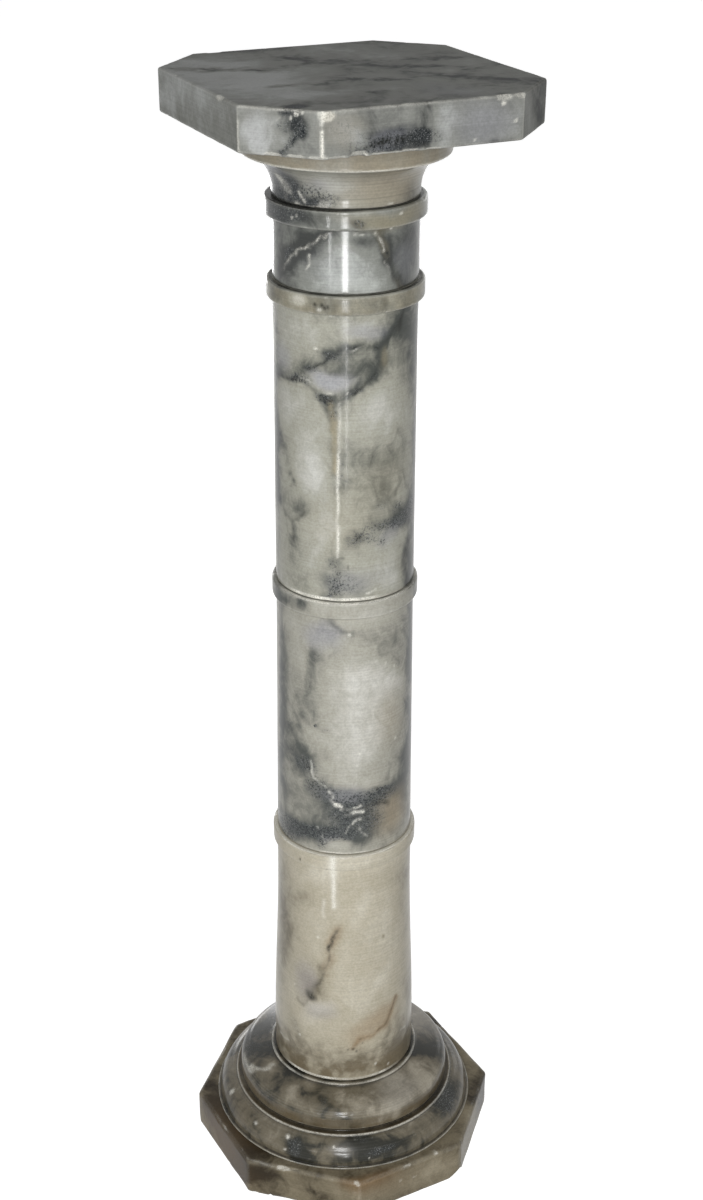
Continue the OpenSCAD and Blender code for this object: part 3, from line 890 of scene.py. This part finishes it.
def make_necking():
    stone = Stone("necking", seed=600).turned()
    left = [
        (-34, 892), (-38, 891), (-43, 888), (-49, 885), (-54, 881), (-59, 880), (-65, 876), (-71, 869),
        (-78, 863), (-82, 857),
    ]
    right = [
        (1, 890), (3, 884), (6, 879), (8, 874), (11, 868), (13, 862), (16, 856), (19, 850), (23, 846),
    ]
    stone.wear()
    stone.patch("tone",
        (-28, 856, 38, 14, 0.8), (-22, 874, 22, 16, 0.8), (-82, 876, 24, 22, -0.5),
        (34, 872, 22, 28, -0.5), (-8, 885, 9, 4, -0.3), (-78, 902, 38, 9, -0.9), (-38, 902, 16, 9, -0.3),
        (-15, 900, 8, 4, -0.9), (12, 902, 34, 9, 0.35), (-60, 888, 20, 5, -0.4), soft=0.6,
    )
    stone.vein((left, 1.3, 0.9, 4, 0.7, 0.7), (right, 1.8, 1, 4, 0.8))
    stone.line("frost_and_highlight",
        ([(-1, 891), (3, 884), (5, 877)], 1, 0.9, 1, 0.5), ([(8, 868), (10, 861), (12, 855)], 1, 0.4),
        ([(-20, 892), (-14, 890), (-9, 890), (-1, 890)], 0.8, 0.8, 1.3, 0.5),
        ([(-53, 873), (-54, 867), (-57, 861)], 1.1, 0.9),
    )
    stone.line("vein", ([(-25, 894), (-16, 893), (-9, 892), (0, 892), (11, 893)], 1.2, 0.7, 1, 0.6))
    stone.line("warm", (right, 4, 0.7))
    stone.patch("warm", (-30, 862, 34, 20, -0.45), (28, 868, 16, 16, -0.5), (14, 902, 46, 9, 0.85))
    stone.patch("speck",
        (-74, 902, 30, 8, 0.6), (-9, 884, 8, 3, 0.3), (-15, 900, 6, 3, 0.7), (-74, 870, 7, 7, 0.7),
    )
    stone.dots("frost_and_highlight",
        (-65, 901, 1.4), (-61, 903, 1.2), (17, 906, 1.8), (13, 894.2, 1.6),
        strength=0.8, tall=0.6, ragged=0.5,
    )
    stone.band("dirt_and_shade", (908.8, 911), 1.0, reach=(57.8, 63), angles=(-140, -20), broken=0.2)
    stone.band("dirt_and_shade", (908.8, 911), 0.9, reach=(57.8, 60.5), broken=0.3)
    stone.band("dirt_and_shade", (843, 844.9), 0.9)
    stone.hidden_side(3)
    stone.build(
        (56, 58, 56), (130, 132, 126), (186, 189, 184), (134, 128, 108), (138, 140, 144),
        cloud=0.9, seed=4.5, polish=0.4,
    )


def make_capital():
    stone = Stone("capital", seed=700).turned(step=1.1, rounding=0.7)
    stone.wear()
    stone.patch("tone",
        (-80, 924, 34, 20, -1), (-50, 916, 16, 7, -0.8), (-38, 928, 22, 9, 0.4), (-20, 918, 20, 12, 0.3),
        (40, 920, 24, 14, -0.35),
    )
    stone.patch("speck", (-72, 920, 34, 16, 1), (-46, 915, 16, 6, 0.7))
    stone.patch("warm", (-40, 929, 20, 8, -0.8), (8, 926, 46, 22, 0.7))
    stone.band("warm", (943, 967), 0.8)
    stone.line("frost_and_highlight",
        ([(-82, 931), (-77, 924), (-73, 917), (-68, 911)], 4, 1, 2.4, 1),
        ([(-70, 916), (-66, 912)], 2, 0.7, 2, 0.9), ([(-61, 921), (-57, 914)], 1.2, 0.9),
    )
    stone.patch("frost_and_highlight", (-52, 914, 12, 4, 0.5), ragged=2)
    stone.patch("frost_and_highlight", (10, 913, 3, 1, 0.6), ragged=0.5)
    stone.band("frost_and_highlight", (941.6, 944.2), 0.5, reach=(79, 83), broken=0.3)
    stone.band("dirt_and_shade", (909, 910.6), 0.85)
    stone.hidden_side(3)
    stone.build(
        (54, 56, 56), (150, 149, 139), (176, 175, 168), (148, 139, 120), (142, 143, 147),
        cloud=0.7, seed=6.3,
    )


def make_top_slab():
    stone = Stone("top_slab", seed=800).prism(cap_rings=74, step=1.7)
    front, corner = (0, -0.6, -0.8), (-0.5, -0.5, -0.7)
    stone.wear(depth=0.8, nick=1.2)
    stone.chip(7,
        ((-50, -127.5, 966), front, 3.4), ((-34, -127.5, 966), front, 1.8),
        ((-10, -127.5, 966), front, 2.2), ((-66, -127.5, 966), front, 1.8),
        ((-22, -127.5, 966), front, 1.5), ((8, -127.5, 966), front, 1.6), ((-92, -113, 966), corner, 2.0),
        ((-104, -101, 966), corner, 2.2), ((-81, -125, 966), corner, 2.4),
        ((64, -127.5, 1000), (0.1, -0.8, 0.6), 2.4), ((76, -127.5, 1000), (0.2, -0.7, 0.7), 2.2),
        ((-78, -127.5, 996), (-0.4, -0.9, 0.1), 1.4), ((-122.5, -50, 1000), (-0.7, 0, 0.7), 2.2),
        ((-60, 120.5, 1000), (0, 0.7, 0.7), 2.6), ((125, 30, 966), (0.7, 0, -0.7), 2.6),
    )
    stone.patch("tone",
        (-26, -127, 979, 18, 7, -0.8), (-10, -127, 973, 22, 6, -0.8), (-44, -127, 970, 24, 5, -0.5),
        (14, -127, 985, 12, 16, 0.5), (33, -127, 967, 7, 4, -0.8), (64, -127, 968, 14, 5, -0.7),
        (48, -127, 986, 22, 12, 0.2), (-55, -127, 990, 20, 9, -0.25), (-112, -93, 984, 12, 16, 0.9),
        (14, -127, 978, 9, 18, 0.5), (-92, -113, 992, 8, 11, -0.6), (-97, -108, 972, 10, 5, -0.6),
        (-122, 0, 984, 50, 14, -0.1), (-122, 60, 984, 30, 24, 0.5), (-122, -40, 984, 24, 20, -0.3),
        (110, -98, 985, 20, 18, -0.4), (-58, -127, 984, 12, 12, 0.5), (-88, 30, 1000, 46, 100, 1),
    )
    stone.patch("speck",
        (-28, -127, 979, 14, 6, 0.85), (-8, -127, 973, 20, 5, 0.765), (-45, -127, 971, 24, 5, 0.51),
        (-60, -127, 984, 18, 9, 0.34), (-92, -113, 993, 7, 9, 0.51), (33, -127, 967, 6, 3, 0.595),
        (64, -127, 968, 12, 4, 0.51), soft=0.8, ragged=1.8,
    )
    stone.patch("vein", (-30, -127, 980, 7, 3.5, 0.7), (-16, -127, 975, 6, 3, 0.6), soft=0.8, ragged=1.8)
    stone.line("vein",
        ([(-44, -127.5, 972), (-34, -127.5, 976), (-20, -127.5, 976), (-4, -127.5, 971),
            (6, -127.5, 967)], 1.8, 0.7),
    )
    stone.line("tone",
        ([(-88, -117, 984), (-95, -111, 976), (-102, -104, 968)], 2.5, -0.7),
        ([(-110, 60, 1000), (-50, 30, 1000), (-10, 45, 1000), (40, 10, 1000),
            (90, -20, 1000)], 9, -0.8, 3),
        ([(-75, -30, 1000), (-40, -38, 1000), (-10, -30, 1000), (30, -46, 1000)], 6, -0.6, 3),
        ([(-30, 95, 1000), (0, 50, 1000), (50, 30, 1000), (110, 20, 1000)], 8, -0.6, 3),
        ([(40, -20, 1000), (75, -60, 1000), (100, -80, 1000)], 5, -0.6, 3),
        ([(-20, -80, 1000), (50, -95, 1000)], 8, -0.35, 3),
        ([(-110, -20, 1000), (-60, -70, 1000), (0, -70, 1000)], 10, 0.35, 3),
        ([(-60, 100, 1000), (40, 90, 1000)], 12, 0.3, 3),
    )
    stone.patch("warm",
        (48, -127, 984, 32, 18, -0.7), (-30, -127, 978, 20, 9, -0.8), (-112, -94, 984, 14, 18, -0.5),
        (-60, -127, 984, 20, 16, 0.5),
    )
    stone.patch("frost_and_highlight", (-112, -94, 984, 12, 15, 0.1), soft=0.8)
    stone.patch("frost_and_highlight", (-73, -127.5, 996, 5, 4.4, 0.55), soft=0.15, ragged=0.4)
    stone.patch("warm", (-73, -127.5, 996, 5, 4.4, 0.6), soft=0.2, ragged=0.4)
    # The two vertical lines on the front corners, at (-78, -127.5) and (-122.5, -83), are worn arrises
    # and also a painted edge highlight.
    stone.line("frost_and_highlight",
        ([(-78, -127.5, 986), (-78, -127.5, 966.5)], 1.1, 1.2, 0.3, 0.2),
        ([(-122, -83, 999.5), (-100, -105, 999.5), (-78, -127, 999.5)], 1, 0.5, 0.6, 0.7),
        ([(-78, -127, 999.5), (0, -127, 999.5), (60, -127, 999.5)], 0.9, 0.4, 0.6, 0.8),
        ([(-78, -127.2, 966.6), (-30, -127.2, 966.6), (0, -127.2, 966.6)], 1.2, 0.7, 1, 0.8),
        ([(-122.5, -83, 989), (-122.5, -83, 967)], 1, 0.7, 0.3),
        ([(-103, -103, 991), (-100, -106, 994)], 0.8, 0.7),
        ([(60, -127.5, 999), (72, -127.5, 999.5), (81, -127.5, 999)], 1, 0.6),
    )
    stone.line("speck", ([(-88, -117, 986), (-95, -111, 976), (-102, -104, 968)], 4, 0.7))
    stone.dots("frost_and_highlight",
        (64, -127.5, 996, 1.8), (75, -127.5, 983, 1.4), (41, -127.5, 972, 1), (-91, -114, 997, 1.6),
        (-94, -111, 994, 1), (-88, -117, 998, 1), (-122.5, -48, 998, 1.6), strength=0.9, ragged=0.5,
    )
    stone.vein(
        ([(126, -60, 970), (126, -30, 984), (126, 0, 990), (126, 30, 999)], 1.6, 0.6, 7, 0.5, 0.4),
        ([(90, 110, 999), (96, 104, 985), (110, 92, 970)], 1.6, 0.6, 7, 0.5, 0.4),
        ([(60, 120, 970), (20, 120, 980), (-10, 120, 990), (-50, 120, 997)], 1.6, 0.6, 7, 0.5, 0.4),
        ([(-110, 92, 970), (-98, 102, 985), (-84, 116, 998)], 1.6, 0.6, 7, 0.5, 0.4),
    )
    stone.patch("tone",
        (126, 60, 980, 24, 14, -0.6), (-20, 120, 984, 40, 12, 0.4), (-90, -106, 1000, 12, 8, -0.8),
    )
    stone.line("vein", ([(66, -92, 1000), (74, -95, 1000), (80, -94, 1000)], 1.2, 0.9))
    stone.patch("speck", (-90, -108, 1000, 10, 6, 0.9))
    stone.build(
        (50, 52, 52), (135, 136, 131), (182, 184, 182), (144, 137, 120), (138, 139, 144),
        cloud=0.9, seed=8.8, gloss=0.5, polish=0.0, shine=0.03,
    )


# ---------------------------------------------------------------- floor, light and camera

CAMERA_AZIMUTH = math.radians(25.2)
CAMERA_DISTANCE = 1.4396
CAMERA_HEIGHT = 1.256
CAMERA_PITCH = math.radians(25.83)
CAMERA_YAW = math.radians(0.23)
CAMERA_ROLL = math.radians(0.26)
CAMERA_LENS = 56.23
WHITE = (1, 1, 1, 1)
WORLD_LIGHT = 0.17  # what the stone gets from all round; the background itself shows at 1
FLOOR_HALF = 60  # m, far enough for its edge to vanish
FLOOR_SHADE = 0.5
FLOOR_GLOW = 0.92  # seen directly only, so that the floor is white and keeps the shadow
FLOOR_GAP = 0.0002  # m below the plinth
LAMPS = (  # name, azimuth, distance, height, size, watts and the height aimed at
    ("key", -27, 1.7, 1.25, (0.3, 0.8), 21, 0.5),
    ("strip", -26, 1.7, 0.41, (0.24, 0.12), 6.0, 0.7),
    ("thin_strip", -23, 1.7, 0.18, (0.035, 0.26), 1.5, 0.6),
    ("spark", -49, 1.7, 0.46, (0.09, 0.06), 1.0, 0.8),
    ("fill", 128, 2.6, 0.9, (1.4, 1.0), 7, 0.5),
    ("back", 165, 2.6, 0.5, (1.8, 0.8), 32, 0.45),
)


def make_camera():
    """The camera stands left of the slab's front face and looks down at the column."""
    data = bpy.data.cameras.new("camera")
    data.lens = CAMERA_LENS
    data.sensor_width = 36
    data.clip_end = 50
    camera = add_object("camera", data)
    heading = CAMERA_AZIMUTH + CAMERA_YAW
    level = Vector((math.sin(heading), math.cos(heading), 0))
    across = Vector((math.cos(heading), -math.sin(heading), 0))
    ahead = level * math.cos(CAMERA_PITCH) - Vector((0, 0, math.sin(CAMERA_PITCH)))
    up = across.cross(ahead)
    right = across * math.cos(CAMERA_ROLL) + up * math.sin(CAMERA_ROLL)
    up = right.cross(ahead)
    place = Matrix((right, up, -ahead)).transposed().to_4x4()
    place.translation = (
        -CAMERA_DISTANCE * math.sin(CAMERA_AZIMUTH),
        -CAMERA_DISTANCE * math.cos(CAMERA_AZIMUTH),
        CAMERA_HEIGHT,
    )
    camera.matrix_world = place
    bpy.context.scene.camera = camera


def make_light(name, azimuth, distance, height, size, power, aim):
    """A soft oblong lamp at an azimuth from the front, aimed at a height on the axis."""
    data = bpy.data.lights.new(name, "AREA")
    data.shape = "RECTANGLE"
    data.size, data.size_y = size
    data.energy = power
    lamp = add_object(name, data)
    turn = math.radians(azimuth)
    lamp.location = (distance * math.sin(turn), -distance * math.cos(turn), height)
    towards = Vector((0, 0, aim)) - lamp.location
    lamp.rotation_euler = towards.to_track_quat("-Z", "Y").to_euler()


def seen_directly(tree):
    """1 for rays that show the background itself: from the camera, a gloss or clear glass."""
    rays = add_node(tree, "ShaderNodeLightPath", {}).outputs
    total = rays["Is Camera Ray"]
    for kind in ("Is Glossy Ray", "Is Transmission Ray"):
        either = add_node(tree, "ShaderNodeMath", {0: total, 1: rays[kind]}, operation="MAXIMUM")
        total = either.outputs[0]
    return total


def make_world():
    world = bpy.data.worlds.new("studio")
    world.use_nodes = True
    tree = world.node_tree
    tree.nodes.clear()
    plain, shown = (
        add_node(tree, "ShaderNodeBackground", {"Color": WHITE, "Strength": strength}).outputs[0]
        for strength in (WORLD_LIGHT, 1.0)
    )
    mix = add_node(tree, "ShaderNodeMixShader", {0: seen_directly(tree), 1: plain, 2: shown})
    add_node(tree, "ShaderNodeOutputWorld", {0: mix.outputs[0]})
    bpy.context.scene.world = world


def make_floor():
    """A white floor that still takes the column's shadow."""
    corners = [(x * FLOOR_HALF, y * FLOOR_HALF, 0) for x, y in ((-1, -1), (1, -1), (1, 1), (-1, 1))]
    mesh = bpy.data.meshes.new("floor")
    mesh.from_pydata(corners, [], [(0, 1, 2, 3)])
    material = bpy.data.materials.new("floor")
    material.use_nodes = True
    tree = material.node_tree
    glow = {0: seen_directly(tree), 1: FLOOR_GLOW}
    set_inputs(tree, tree.nodes["Principled BSDF"], {
        "Base Color": (FLOOR_SHADE, FLOOR_SHADE, FLOOR_SHADE, 1), "Roughness": 0.9,
        "Specular IOR Level": 0.0, "Emission Color": WHITE,
        "Emission Strength": add_node(tree, "ShaderNodeMath", glow, operation="MULTIPLY").outputs[0],
    })
    mesh.materials.append(material)
    floor = add_object("floor", mesh)
    floor.location.z = CAD_BOX[0].z - FLOOR_GAP


make_camera()
make_world()
make_floor()
for lamp in LAMPS:
    make_light(*lamp)
for make in (
    make_plinth, make_base, make_lower_shaft, make_middle_shaft, make_upper_shaft, make_necking,
    make_capital, make_top_slab,
):
    make()

bpy.context.scene.view_settings.view_transform = "Standard"
